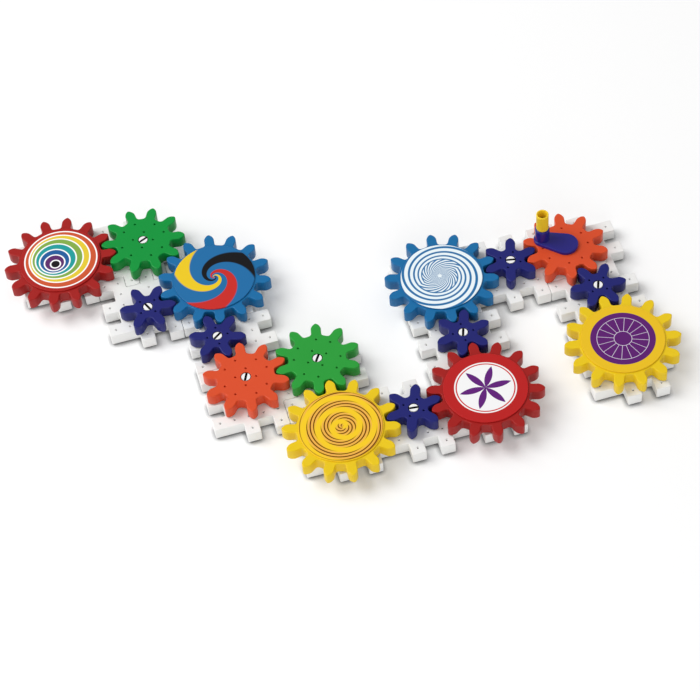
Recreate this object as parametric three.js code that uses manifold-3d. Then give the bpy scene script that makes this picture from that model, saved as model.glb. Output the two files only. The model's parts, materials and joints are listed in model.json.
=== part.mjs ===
// A toy gear board of moulded plastic: sixteen white base plates lock together by square fingers,
// a slotted pin holds one gear on each plate, and all sixteen gears mesh and turn with one crank.
// Six large gears carry a round pattern disc. The crank is an arm pegged to a medium gear, with a
// hollow knob that spins on the arm's post. Millimetres, +Z up, plates standing on z = 0, and the
// origin under the middle of the whole toy.
import * as THREE from 'three';
import { mergeVertices } from 'three/addons/utils/BufferGeometryUtils.js';
import Module from 'manifold-3d';

const wasm = await Module();
wasm.setup();

// Driving dimensions of the board. Everything stands on one square lattice of cells.
const cell = 12;
const plateThickness = 12;
const plateTopWall = 2.4;
const plateSideWall = 2.4;
const socketWall = 2.2;

// The gap between pieces that touch or run on each other.
const seatGap = 0.3;

// The extra length of every cutting tool past the face that it opens.
const overrun = 1;

// Axle pins.
const shankRadius = 2.4;
const shankTipChamfer = 0.8;
const shankFootClearance = 1.5;
const headRadius = 3.7;
const headThickness = 2.5;
const headSink = 0.2;
const headClearance = 0.6;
const slotWidth = 1.1;
const slotDepth = 1.2;

// Gears. The pitch radius is teeth / teethPerCell cells, so that gears mesh on the lattice.
const teethPerCell = 4;
const addendum = 5.5;
const rootClearance = 0.7;
const backlash = 1.1;
const toothNeck = 0.1;
const gearThickness = 10.8;
const hubStep = 0.9;
const hubWall = 3.2;
const gearTopWall = 3.4;
const gearRimWall = 3;
const leastPocketWidth = 8;
const pinHoleRadius = 0.95;

// Pattern discs on the large gears.
const discMargin = 1.8;
const discThickness = 0.9;
const discEdgeChamfer = 0.3;
const pegClearance = 0.2;
const pegLength = 2.6;

// Crank arm and knob.
const armHubRadius = 10.6;
const armEndRadius = 7.2;
const crankRadius = 20;
const armThickness = 2.8;
const armEdgeStep = 0.5;
const stemRadius = 6.1;
const stemHeight = 13;
const postRadius = 2.3;
const postHeadRadius = 3.1;
const postHeadHeight = 2.6;
const postHeadChamfer = 1;
const knobRadius = 5.2;
const knobHeight = 17.2;
const knobWall = 1.2;
const knobFloorHeight = 7;
const knobEdgeChamfer = 0.4;

// Counts and angles.
const coreCells = 4;
const fingerCells = 1;
const plateStep = coreCells + fingerCells;
const holeSides = 6;
const roundSides = 12;
const discSides = 24;
const pocketSides = 16;
const knobSides = 16;
const crankStartTurn = 9.4;
const armTurn = 136.4;
const armArcSteps = 6;

// Where the bend of a tooth's crown has its corners, from the pitch circle to the tip, and how
// full the bend is: 2 gives a half ellipse, and less a more pointed crown.
const crownAngles = [30, 60];
const crownFullness = 1.6;

// Places of the small peg holes on a gear, as shares of a cell from its axis. Discs and the crank
// arm have their two pegs on a diagonal.
const holeShares = [-1.5, -0.5, 0.5, 1.5];
const discPegShare = 1.5;
const armPegShare = 0.5;

// Heights that follow from the sizes above.
const plateTop = plateThickness;
const gearFoot = plateTop + seatGap;
const gearTop = gearFoot + hubStep + gearThickness;
const headTop = gearTop - headSink;
const headFoot = headTop - headThickness;
const onGear = gearTop + seatGap;
const armTop = onGear + armThickness;
const stemTop = armTop + stemHeight;
const knobFoot = stemTop + seatGap;

// Radii that follow from the sizes above.
const socketRadius = shankRadius + seatGap;
const counterboreRadius = headRadius + headClearance;
const hubRadius = socketRadius + hubWall;
const toothWidth = Math.PI * cell / teethPerCell - backlash;
const pegRadius = pinHoleRadius - pegClearance;
const knobBoreRadius = postRadius + seatGap;
const knobCupRadius = knobRadius - knobWall;
const pitchRadius = (teeth) => teeth * cell / teethPerCell;
const rootRadius = (teeth) => pitchRadius(teeth) - addendum - rootClearance;
const discRadius = (teeth) => rootRadius(teeth) - discMargin;

// Colours of the moulded plastic.
const colours = {
  white: 0xececea,
  red: 0xc4262a,
  green: 0x189a4c,
  blue: 0x2273b4,
  indigo: 0x3a3690,
  orange: 0xe55a34,
  yellow: 0xf0c020,
  purple: 0x3c2a86,
  knob: 0xdfb02c,
};

const LARGE = { teeth: 14, disc: true };
const MEDIUM = { teeth: 10, disc: false };
const SMALL = { teeth: 6, disc: false };

// One row for each gear, from the crank outwards. column and row place its base plate, socket is
// the cell offset of the plate's axle hole, and slotTurn the turn of the pin's screwdriver slot,
// in degrees from +X.
const gears = [
  { id: '14', kind: MEDIUM, colour: 'orange', column: 7, row: 2, socket: [-1, 0], slotTurn: 45 },
  { id: '13', kind: SMALL, colour: 'indigo', column: 6, row: 2, socket: [0, 0], slotTurn: -12 },
  { id: '12', kind: LARGE, colour: 'blue', column: 5, row: 2, socket: [0, 0], slotTurn: -20 },
  { id: '11', kind: SMALL, colour: 'indigo', column: 5, row: 3, socket: [0, 0], slotTurn: 71 },
  { id: '10', kind: LARGE, colour: 'red', column: 5, row: 4, socket: [0, 0], slotTurn: 70 },
  { id: '09', kind: SMALL, colour: 'indigo', column: 4, row: 4, socket: [0, 0], slotTurn: -7 },
  { id: '08', kind: LARGE, colour: 'yellow', column: 3, row: 4, socket: [0, 0], slotTurn: 30 },
  { id: '07', kind: MEDIUM, colour: 'green', column: 3, row: 3, socket: [0, 1], slotTurn: 58 },
  { id: '06', kind: MEDIUM, colour: 'orange', column: 2, row: 3, socket: [0, 1], slotTurn: 66 },
  { id: '05', kind: SMALL, colour: 'indigo', column: 2, row: 2, socket: [-1, 0], slotTurn: 36 },
  { id: '03', kind: LARGE, colour: 'blue', column: 2, row: 1, socket: [0, 0], slotTurn: 0 },
  { id: '04', kind: SMALL, colour: 'indigo', column: 1, row: 1, socket: [0, -1], slotTurn: -67 },
  { id: '02', kind: MEDIUM, colour: 'green', column: 1, row: 0, socket: [1, 0], slotTurn: 24 },
  { id: '01', kind: LARGE, colour: 'red', column: 0, row: 0, socket: [0, 0], slotTurn: 20 },
  { id: '15', kind: SMALL, colour: 'indigo', column: 7, row: 3, socket: [0, 1], slotTurn: 69 },
  { id: '16', kind: LARGE, colour: 'yellow', column: 7, row: 4, socket: [0, 1], slotTurn: 0 },
];

// What turns each gear but the crank's. slackShare is the share of a tooth pitch by which the gear
// stands off the middle of the play, and ahead the number of whole teeth by which it is turned.
const meshes = {
  '13': { driver: '14', slackShare: 0.02, ahead: -1 },
  '12': { driver: '13', slackShare: -0.02, ahead: 0 },
  '11': { driver: '12', slackShare: 0.02, ahead: 0 },
  '10': { driver: '11', slackShare: -0.02, ahead: 0 },
  '09': { driver: '10', slackShare: 0.01, ahead: -1 },
  '08': { driver: '09', slackShare: -0.02, ahead: 0 },
  '07': { driver: '08', slackShare: -0.02, ahead: 0 },
  '06': { driver: '07', slackShare: -0.02, ahead: -2 },
  '05': { driver: '06', slackShare: 0.05, ahead: 0 },
  '03': { driver: '05', slackShare: -0.05, ahead: 0 },
  '04': { driver: '03', slackShare: 0.05, ahead: -1 },
  '02': { driver: '03', slackShare: 0.1, ahead: 0 },
  '01': { driver: '02', slackShare: -0.02, ahead: 0 },
  '15': { driver: '14', slackShare: -0.05, ahead: 1 },
  '16': { driver: '15', slackShare: 0.02, ahead: 0 },
};

const radians = THREE.MathUtils.degToRad;

// Points of a regular polygon. A hole's flats, and a post's corners, lie on the radius.
function ringPoints(radius, sides, isHole, x = 0, y = 0) {
  const reach = isHole ? radius / Math.cos(Math.PI / sides) : radius;
  const points = [];
  for (let i = 0; i < sides; i++) {
    const angle = (i + 0.5) * 2 * Math.PI / sides;
    points.push(new THREE.Vector2(x + reach * Math.cos(angle), y + reach * Math.sin(angle)));
  }
  return points;
}

// The outlines of holes of one radius, at places counted in cells.
function holesAt(radius, cells) {
  return cells.map(([x, y]) => ringPoints(radius, holeSides, true, x * cell, y * cell));
}

// A straight-sided solid between two heights, with holes cut right through it.
function prism(outline, foot, top, holes = []) {
  const shape = new THREE.Shape(outline);
  shape.holes = holes.map((hole) => new THREE.Path(hole));
  const geometry = new THREE.ExtrudeGeometry(shape, { depth: top - foot, bevelEnabled: false, steps: 1 });
  geometry.translate(0, 0, foot);
  return geometry;
}

// A round solid from a profile of [radius, height] pairs that starts and ends on the axis or
// closes on itself. It is turned so that +Z is up.
function turned(profile, sides) {
  const geometry = new THREE.LatheGeometry(profile.map(([r, z]) => new THREE.Vector2(r, z)), sides);
  geometry.rotateX(Math.PI / 2);
  return geometry;
}

function toSolid(geometry) {
  const bare = geometry.clone();
  bare.deleteAttribute('normal');
  bare.deleteAttribute('uv');
  const merged = mergeVertices(bare);
  return new wasm.Manifold(new wasm.Mesh({
    numProp: 3,
    vertProperties: new Float32Array(merged.attributes.position.array),
    triVerts: new Uint32Array(merged.index.array),
  }));
}

function toGeometry(solid) {
  const mesh = solid.getMesh();
  const geometry = new THREE.BufferGeometry();
  geometry.setAttribute('position', new THREE.BufferAttribute(mesh.vertProperties, 3));
  geometry.setIndex(new THREE.BufferAttribute(mesh.triVerts, 1));
  geometry.computeVertexNormals();
  return geometry;
}

// The corners of a plate, walked the positive way. Each side has two fingers, one cell square,
// and the fourth corner is filled so that plates tile the plane on a step of five cells.
function plateOutline() {
  const half = coreCells / 2;
  const reach = half + fingerCells;
  const start = fingerCells - half;
  const end = start + fingerCells;
  const side = [
    [start, -half], [start, -reach], [end, -reach], [end, -half],
    [half - fingerCells, -half], [half - fingerCells, -reach], [half, -reach],
  ];
  const corners = [];
  for (let turn = 0; turn < 4; turn++) {
    for (const [u, v] of side) {
      const [x, y] = [[u, v], [-v, u], [-u, -v], [v, -u]][turn];
      const fillsCorner = x === -half && y === reach;
      if (fillsCorner) {
        corners.push([-reach, reach], [-reach, half], [-half, half]);
      } else {
        corners.push([x, y]);
      }
    }
  }
  return corners.map(([x, y], i) => {
    const before = corners.at(i - 1);
    const after = corners[(i + 1) % corners.length];
    const inX = -Math.sign(y - before[1]) - Math.sign(after[1] - y);
    const inY = Math.sign(x - before[0]) + Math.sign(after[0] - x);
    return new THREE.Vector2(x * cell + inX * seatGap / 2, y * cell + inY * seatGap / 2);
  });
}

// A base plate: a tray open below, with a cross of ribs that carries the axle socket.
function plateGeometry(socketCell) {
  const sockets = holesAt(socketRadius, [socketCell]);
  let plate = toSolid(prism(plateOutline(), 0, plateThickness, sockets));
  const near = socketRadius + socketWall;
  const far = coreCells / 2 * cell - plateSideWall;
  const span = far - near;
  for (const [signX, signY] of [[1, 1], [-1, 1], [-1, -1], [1, -1]]) {
    const pocket = new THREE.BoxGeometry(span, span, plateThickness - plateTopWall + overrun);
    const middle = near + span / 2;
    const height = (plateThickness - plateTopWall - overrun) / 2;
    pocket.translate(signX * middle, signY * middle, height);
    plate = plate.subtract(toSolid(pocket));
  }
  return toGeometry(plate);
}

// A pin: a shank with a chamfered tip through gear and plate, and a slotted head that lies in the
// gear's counterbore.
function pinGeometry() {
  const foot = shankFootClearance;
  const pin = toSolid(turned([
    [0, foot],
    [shankRadius - shankTipChamfer, foot],
    [shankRadius, foot + shankTipChamfer],
    [shankRadius, headFoot],
    [headRadius, headFoot],
    [headRadius, headTop],
    [0, headTop],
  ], roundSides));
  const slot = new THREE.BoxGeometry(2 * headRadius + overrun, slotWidth, slotDepth + overrun);
  slot.translate(0, 0, headTop + (overrun - slotDepth) / 2);
  return toGeometry(pin.subtract(toSolid(slot)));
}

// A gear's outline: petal-shaped teeth, widest at the pitch circle, with crowns that are halves of
// superellipses. Tooth 0 points along +X.
function gearOutline(teeth) {
  const pitch = pitchRadius(teeth);
  const root = rootRadius(teeth);
  const halfWidth = toothWidth / 2;
  const rootHalf = halfWidth - toothNeck;
  const bend = 2 / crownFullness;
  const flank = [
    [Math.sqrt(root * root - rootHalf * rootHalf), rootHalf],
    [pitch, halfWidth],
    ...crownAngles.map((angle) => [
      pitch + addendum * Math.sin(radians(angle)) ** bend,
      halfWidth * Math.cos(radians(angle)) ** bend,
    ]),
  ];
  const tooth = [
    ...flank.map(([along, across]) => [along, -across]),
    [pitch + addendum, 0],
    ...flank.toReversed(),
  ];
  const points = [];
  for (let i = 0; i < teeth; i++) {
    const angle = i * 2 * Math.PI / teeth;
    for (const [along, across] of tooth) {
      points.push(new THREE.Vector2(
        along * Math.cos(angle) - across * Math.sin(angle),
        along * Math.sin(angle) + across * Math.cos(angle),
      ));
    }
  }
  return points;
}

// The small peg holes of a gear, on the cell lattice: all that its bare face shows, or on a gear
// with a disc the two that take the disc's pegs.
function pinHoleCells(kind) {
  if (kind.disc) {
    return [[-discPegShare, -discPegShare], [discPegShare, discPegShare]];
  }
  const cells = [];
  for (const x of holeShares) {
    for (const y of holeShares) {
      const room = rootRadius(kind.teeth) - Math.hypot(x, y) * cell;
      if (room > gearRimWall) {
        cells.push([x, y]);
      }
    }
  }
  return cells;
}

// A gear: a solid toothed rim, a thin top wall, and a hub that runs on the plate.
function gearGeometry(kind) {
  const bodyFoot = gearFoot + hubStep;
  const holes = holesAt(pinHoleRadius, pinHoleCells(kind));
  holes.push(ringPoints(socketRadius, roundSides, true));
  let gear = toSolid(prism(gearOutline(kind.teeth), bodyFoot, gearTop, holes));
  const pocketRadius = rootRadius(kind.teeth) - gearRimWall;
  if (pocketRadius - hubRadius > leastPocketWidth) {
    const pocket = prism(
      ringPoints(pocketRadius, pocketSides, false),
      bodyFoot - overrun,
      gearTop - gearTopWall,
      [ringPoints(hubRadius, roundSides, true)],
    );
    gear = gear.subtract(toSolid(pocket));
  }
  const hub = prism(
    ringPoints(hubRadius, roundSides, true),
    gearFoot,
    gearTop - gearTopWall,
    [ringPoints(socketRadius, roundSides, true)],
  );
  const bore = ringPoints(counterboreRadius, roundSides, true);
  const counterbore = prism(bore, headFoot - seatGap, gearTop + overrun);
  return toGeometry(gear.add(toSolid(hub)).subtract(toSolid(counterbore)));
}

// Short pegs at the given lattice places, from half way into the piece that is pushed on to a gear.
function pegs(cells, thickness) {
  return cells.map(([x, y]) => {
    const outline = ringPoints(pegRadius, holeSides, false, x * cell, y * cell);
    return toSolid(prism(outline, onGear - pegLength, onGear + thickness / 2));
  });
}

// A pattern disc: a thin round plate with two pegs.
function discGeometry(kind) {
  const radius = discRadius(kind.teeth);
  const top = onGear + discThickness;
  let disc = toSolid(turned([
    [0, onGear],
    [radius, onGear],
    [radius, top - discEdgeChamfer],
    [radius - discEdgeChamfer, top],
    [0, top],
  ], discSides));
  for (const peg of pegs(pinHoleCells(kind), discThickness)) {
    disc = disc.add(peg);
  }
  return toGeometry(disc);
}

// The teardrop outline of the crank arm, drawn in from its edge by inset: an arc round the hub,
// an arc round the end and the two straight lines that touch both.
function armOutline(inset) {
  const lean = Math.acos((armHubRadius - armEndRadius) / crankRadius);
  const arc = (x, radius, from, to, steps) => {
    const points = [];
    for (let i = 0; i <= steps; i++) {
      const angle = from + (to - from) * i / steps;
      points.push(new THREE.Vector2(x + radius * Math.cos(angle), radius * Math.sin(angle)));
    }
    return points;
  };
  return [
    ...arc(0, armHubRadius - inset, lean, 2 * Math.PI - lean, 2 * armArcSteps),
    ...arc(crankRadius, armEndRadius - inset, -lean, lean, armArcSteps),
  ];
}

// The crank arm: a teardrop plate that covers the pin, two pegs below it, a round stem on its end,
// and on the stem a post with a snap head, where the knob turns.
function armGeometry() {
  const body = prism(armOutline(0), onGear, armTop - armEdgeStep);
  const crown = prism(armOutline(armEdgeStep), onGear, armTop);
  const collar = knobFoot + knobFloorHeight + seatGap;
  const postTop = collar + postHeadHeight;
  const post = turned([
    [0, armTop - armThickness / 2],
    [stemRadius, armTop - armThickness / 2],
    [stemRadius, stemTop],
    [postRadius, stemTop],
    [postRadius, collar],
    [postHeadRadius, collar],
    [postHeadRadius, postTop - postHeadChamfer],
    [postHeadRadius - postHeadChamfer, postTop],
    [0, postTop],
  ], knobSides);
  post.translate(crankRadius, 0, 0);
  let arm = toSolid(body).add(toSolid(crown)).add(toSolid(post));
  const turn = -radians(armTurn);
  const places = [-armPegShare, armPegShare].map((at) => [
    at * (Math.cos(turn) - Math.sin(turn)),
    at * (Math.sin(turn) + Math.cos(turn)),
  ]);
  for (const peg of pegs(places, armThickness)) {
    arm = arm.add(peg);
  }
  return toGeometry(arm);
}

// The knob: a tube with a close bore below and a wider cup above, where the post's head shows.
function knobGeometry() {
  const top = knobFoot + knobHeight;
  const floor = knobFoot + knobFloorHeight;
  return turned([
    [knobBoreRadius, knobFoot],
    [knobRadius - knobEdgeChamfer, knobFoot],
    [knobRadius, knobFoot + knobEdgeChamfer],
    [knobRadius, top - knobEdgeChamfer],
    [knobRadius - knobEdgeChamfer, top],
    [knobCupRadius, top],
    [knobCupRadius, floor],
    [knobBoreRadius, floor],
    [knobBoreRadius, knobFoot],
  ], knobSides);
}

function plastic(colour, roughness) {
  return new THREE.MeshStandardMaterial({ color: colours[colour], roughness, metalness: 0 });
}

function piece(name, geometry, material) {
  const mesh = new THREE.Mesh(geometry, material);
  mesh.name = name;
  return mesh;
}

// Where a plate's centre and a gear's axis stand, in millimetres from the first plate's centre.
const plateCentre = (gear) => [gear.column * plateStep * cell, -gear.row * plateStep * cell];
const axis = (gear) => {
  const [x, y] = plateCentre(gear);
  const [socketX, socketY] = gear.socket;
  return [x + socketX * cell, y + socketY * cell];
};

// The turn of each gear that puts it in mesh: on the line of centres, a tooth of one meets the
// gap of the other, but for the slack.
function startTurns() {
  const turns = {};
  for (const gear of gears) {
    const mesh = meshes[gear.id];
    if (!mesh) {
      turns[gear.id] = radians(crankStartTurn);
      continue;
    }
    const driver = gears.find((other) => other.id === mesh.driver);
    const [x, y] = axis(gear);
    const [driverX, driverY] = axis(driver);
    const bearing = Math.atan2(y - driverY, x - driverX);
    const toothOfDriver = (bearing - turns[driver.id]) * driver.kind.teeth / (2 * Math.PI);
    const toothOfGear = 0.5 - toothOfDriver + mesh.slackShare - mesh.ahead;
    turns[gear.id] = bearing + Math.PI - toothOfGear * 2 * Math.PI / gear.kind.teeth;
  }
  return turns;
}

const pin = pinGeometry();
const gearShapes = new Map([LARGE, MEDIUM, SMALL].map((kind) => [kind, gearGeometry(kind)]));
const disc = discGeometry(LARGE);
const turns = startTurns();
const sizeNames = new Map([[LARGE, 'large'], [MEDIUM, 'medium'], [SMALL, 'small']]);

const board = new THREE.Group();
for (const gear of gears) {
  const plate = plateGeometry(gear.socket);
  const basePlate = piece(`base_plate_${gear.id}`, plate, plastic('white', 0.45));
  basePlate.position.set(...plateCentre(gear), 0);
  const axlePin = piece(`axle_pin_${gear.id}`, pin, plastic('white', 0.4));
  axlePin.position.set(...axis(gear), 0);
  axlePin.rotation.z = radians(gear.slotTurn);
  const turning = new THREE.Group();
  turning.position.set(...axis(gear), 0);
  turning.rotation.z = turns[gear.id];
  const name = `gear_${gear.id}_${sizeNames.get(gear.kind)}_${gear.colour}`;
  turning.add(piece(name, gearShapes.get(gear.kind), plastic(gear.colour, 0.35)));
  if (gear.kind.disc) {
    turning.add(piece(`pattern_disc_${gear.id}`, disc, plastic(gear.colour, 0.3)));
  }
  if (!meshes[gear.id]) {
    const crank = new THREE.Group();
    crank.rotation.z = radians(armTurn);
    crank.add(piece('crank_arm', armGeometry(), plastic('purple', 0.3)));
    const knob = piece('crank_knob', knobGeometry(), plastic('knob', 0.35));
    knob.position.x = crankRadius;
    crank.add(knob);
    turning.add(crank);
  }
  board.add(basePlate, axlePin, turning);
}

// The origin lies under the middle of the toy.
board.updateMatrixWorld(true);
const middle = new THREE.Box3().setFromObject(board, true).getCenter(new THREE.Vector3());
board.position.set(-middle.x, -middle.y, 0);

const toy = new THREE.Group();
toy.add(board);

export default toy;
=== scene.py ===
# %% [markdown]
# # A toy gear board
# Sixteen white base plates join by square fingers into a winding chain. A gear turns on each plate,
# and one small crank moves them all. This lesson dresses a finished CAD model of the toy: every
# plain solid gets a finer skin with rounded edges, and every plastic gets its own finish.
# The CAD model is the fixed frame. Nothing here moves or resizes it, so each new piece starts from
# the places that the frame gives.

# %% Load the frame
import json
import math

import bpy
import numpy as np
from mathutils import Matrix, Vector
from mathutils.geometry import delaunay_2d_cdt

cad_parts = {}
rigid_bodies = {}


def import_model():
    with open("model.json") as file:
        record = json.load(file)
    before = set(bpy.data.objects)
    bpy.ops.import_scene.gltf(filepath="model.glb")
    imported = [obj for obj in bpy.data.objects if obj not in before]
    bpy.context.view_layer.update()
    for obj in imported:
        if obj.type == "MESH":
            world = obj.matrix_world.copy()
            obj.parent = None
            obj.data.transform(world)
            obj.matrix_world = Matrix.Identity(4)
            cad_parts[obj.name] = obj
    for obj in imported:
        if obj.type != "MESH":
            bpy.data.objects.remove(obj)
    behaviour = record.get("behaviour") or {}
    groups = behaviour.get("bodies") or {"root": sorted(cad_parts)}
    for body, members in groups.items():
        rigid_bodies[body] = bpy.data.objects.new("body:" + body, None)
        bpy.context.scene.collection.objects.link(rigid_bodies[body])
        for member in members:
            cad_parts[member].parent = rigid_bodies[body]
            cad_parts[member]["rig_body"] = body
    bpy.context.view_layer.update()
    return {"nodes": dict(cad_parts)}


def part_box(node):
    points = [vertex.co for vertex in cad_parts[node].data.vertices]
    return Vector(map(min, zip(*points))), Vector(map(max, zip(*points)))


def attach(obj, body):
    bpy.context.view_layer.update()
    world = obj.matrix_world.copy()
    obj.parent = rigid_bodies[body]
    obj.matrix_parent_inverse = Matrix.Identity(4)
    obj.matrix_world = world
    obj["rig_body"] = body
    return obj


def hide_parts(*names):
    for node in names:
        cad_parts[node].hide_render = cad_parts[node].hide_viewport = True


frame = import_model()

# %% [markdown]
# ## Sizes and places
# Lengths are in millimetres until a mesh is made. The board stands on a square lattice of cells, and
# one cell is 12 mm. Heights are those of the CAD solids. The axes of the gears are read from the
# boxes of their pins, so they can't drift from the frame. A box doesn't tell how far a gear is
# turned, so the table repeats each turn, in degrees, with the size and the colour of the gear. A
# second table says how far the slot of each pin is turned.

# %% Sizes and places
PER_METRE = 1000.0
CELL = 12.0
PLATE_TOP = 12.0
GEAR_FOOT, GEAR_BODY, GEAR_TOP = 12.3, 13.2, 24.0
POCKET_TOP = 20.6
DISC_FOOT, DISC_TOP = 24.1, 25.2
ARM_FOOT, ARM_TOP, STEM_TOP = 24.1, 27.1, 40.1
KNOB_FOOT, KNOB_TOP = 40.4, 57.6

GEARS = {
    "01": ("large", "red", -6.130),
    "02": ("medium", "deep_green", 27.301),
    "03": ("large", "blue", -148.656),
    "04": ("small", "indigo", -8.437),
    "05": ("small", "indigo", 42.163),
    "06": ("medium", "orange", -58.640),
    "07": ("medium", "green", 149.360),
    "08": ("large", "yellow", 60.971),
    "09": ("small", "indigo", 8.933),
    "10": ("large", "red", -68.372),
    "11": ("small", "indigo", 130.733),
    "12": ("large", "blue", -172.257),
    "13": ("small", "indigo", -166.867),
    "14": ("medium", "orange", 9.400),
    "15": ("small", "indigo", -5.237),
    "16": ("large", "yellow", 40.301),
}
SLOT_TURNS = {
    "01": 20, "02": 24, "03": 0, "04": -67, "05": 36, "06": 66, "07": 58, "08": 30,
    "09": -7, "10": 70, "11": 71, "12": -20, "13": -12, "14": 45, "15": 69, "16": 0,
}
TEETH = {"large": 14, "medium": 10, "small": 6}
ARM_TURN = 145.8


def middle(node):
    """The middle of a node's box seen from above, in millimetres."""
    low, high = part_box(node)
    return np.array([low.x + high.x, low.y + high.y]) / 2 * PER_METRE


PLATE_AT = {key: middle(f"base_plate_{key}") for key in GEARS}
AXIS_AT = {key: middle(f"axle_pin_{key}") for key in GEARS}
print("axis of the crank's gear in mm:", np.round(AXIS_AT["14"], 2))

# %% [markdown]
# ## Moulded shapes from outlines
# Every piece of this toy was made in a mould: a flat outline with straight walls and softly rounded
# edges. A box with a Bevel modifier could give one of them, but not a toothed rim with thirty holes.
# So a piece is built as rings. One outline is drawn in by a little more and lifted by a little more
# from ring to ring, which rounds the edge. Each rounded edge ends in one more narrow flat ring, so
# that the shading of the edge doesn't run out over the flat face.

# %% Outlines and edges
FLAT_RING = 0.15


def drawn_in(outline, inset):
    """The outline moved to its left by inset: each corner moves by the sum of the two edge normals,
    divided by one plus the cosine of the angle between them."""
    edge = np.roll(outline, -1, 0) - outline
    edge /= np.linalg.norm(edge, axis=1, keepdims=True)
    after = np.stack([-edge[:, 1], edge[:, 0]], 1)
    before = np.roll(after, 1, 0)
    share = 1 + (after * before).sum(1, keepdims=True)
    return outline + inset * (after + before) / share


def parabola(start, corner, end, steps):
    """Points on a bend round a corner: the sum of (1-t) squared times the start, 2t(1-t) times the
    corner and t squared times the end. It takes one corner, or many in an array."""
    start, corner, end = (point[..., None, :] for point in (start, corner, end))
    t = np.linspace(0, 1, steps)[:, None]
    return (1 - t) ** 2 * start + 2 * t * (1 - t) * corner + t**2 * end


def softened(corners, reach, steps):
    """Each corner becomes a parabola that leaves its edges at reach from the corner, or at nearly
    half of an edge that is too short for that."""
    to_next = np.roll(corners, -1, 0) - corners
    length = np.linalg.norm(to_next, axis=1, keepdims=True)
    along = to_next / length
    room = np.minimum(reach, 0.49 * np.minimum(length, np.roll(length, 1, 0)))
    start = corners - np.roll(along, 1, 0) * room
    end = corners + along * room
    return parabola(start, corners, end, steps).reshape(-1, 2)


def at_height(outline, inset, height):
    """The outline drawn in by inset and lifted to height, as points in space."""
    return np.column_stack([drawn_in(outline, inset), np.full(len(outline), height)])


def circle(radius, sides, at=(0, 0), is_hole=False):
    """Points at equal angles on a circle, anticlockwise, or clockwise round a hole."""
    turn = np.arange(sides) * 2 * math.pi / sides * (-1 if is_hole else 1)
    return np.array(at) + radius * np.stack([np.cos(turn), np.sin(turn)], 1)


def edge_profile(foot, top, lower, upper, steps=4):
    """Pairs of inset and height from the underside to the top: a quarter circle of radius lower, the
    wall, a quarter circle of radius upper, and a flat ring before and after."""
    a = np.linspace(0, math.pi / 2, steps)
    below = np.stack([lower * (1 - np.sin(a)), foot + lower * (1 - np.cos(a))], 1)
    above = np.stack([upper * (1 - np.cos(a)), top - upper * (1 - np.sin(a))], 1)
    flat_below, flat_above = [[lower + FLAT_RING, foot]], [[upper + FLAT_RING, top]]
    return np.concatenate([flat_below, below, above, flat_above])


print("a soft edge, inset and height:", edge_profile(0, PLATE_TOP, 0.2, 0.55).round(2).tolist())

# %% [markdown]
# Quads join each ring to the next, and flat faces fill the space between the last rings. Walls,
# fills and holes of one piece share points, so a small class gathers them in one list of points and
# one of faces. It also remembers which faces get painted shade: a near-black material inside holes
# and slots, where the real plastic is dark only because little light gets in.

# %% Rings into a moulding
# The second kind of face gets painted shade: a near-black material inside holes and slots, where the
# plastic is only shaded.
BRIGHT, PAINTED_SHADE = 0, 1
SAME_POINT = 1e-6


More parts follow.
